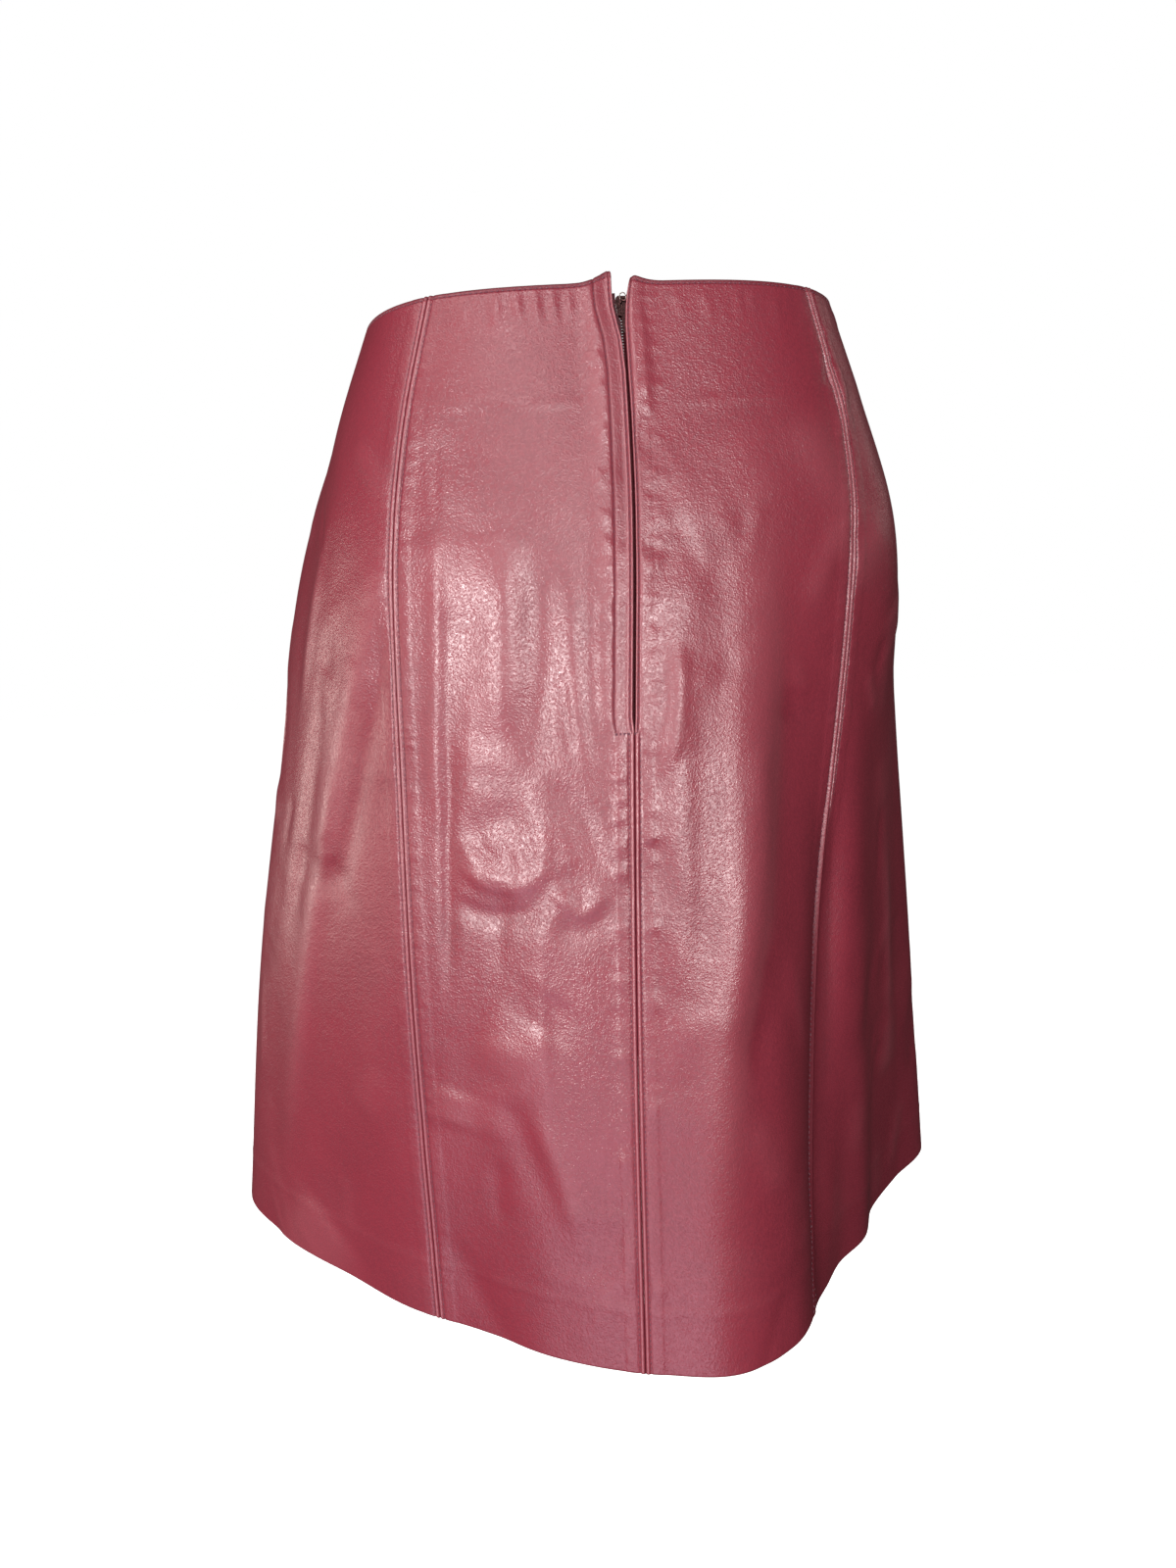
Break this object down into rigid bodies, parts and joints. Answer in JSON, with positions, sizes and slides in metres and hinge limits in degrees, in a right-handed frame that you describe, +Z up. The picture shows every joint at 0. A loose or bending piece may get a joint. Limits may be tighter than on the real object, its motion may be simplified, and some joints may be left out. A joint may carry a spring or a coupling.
{
  "type": "a-line leather skirt",
  "caption": "A-line leather skirt held at the waist, open at waist and hem, with princess seams and a lapped centre-back zip whose pull tab swings",
  "frame": {"origin": "the middle of the waist opening, where the wearer's waist holds the skirt", "axes": "+Z up out of the waist opening, -Y to the back where the zip is, +X to the wearer's right"},
  "size_m": [0.3946, 0.3563, 0.4813],
  "materials": {
    "leather": "satin burgundy leather with a fine pebble grain",
    "zip_tape": "woven burgundy tape",
    "zip_teeth": "dark moulded teeth",
    "zip_metal": "worn nickel plate"
  },
  "bodies": {
    "skirt": {"back_left": "leather", "back_right": "leather", "side_back_left": "leather", "side_back_right": "leather", "front": "leather", "zip_tape_left": "zip_tape", "zip_tape_right": "zip_tape", "zip_chain": "zip_teeth", "zip_slider": "zip_metal"},
    "pull_tab": {"zip_pull": "zip_metal"}
  },
  "joints": [
    {"name": "pull_tab_swing", "type": "hinge", "parent": "skirt", "child": "pull_tab", "pos_m": [0.0095, -0.10343, -0.00858], "axis": [-1, 0, 0], "range_deg": [0, 150]}
  ]
}
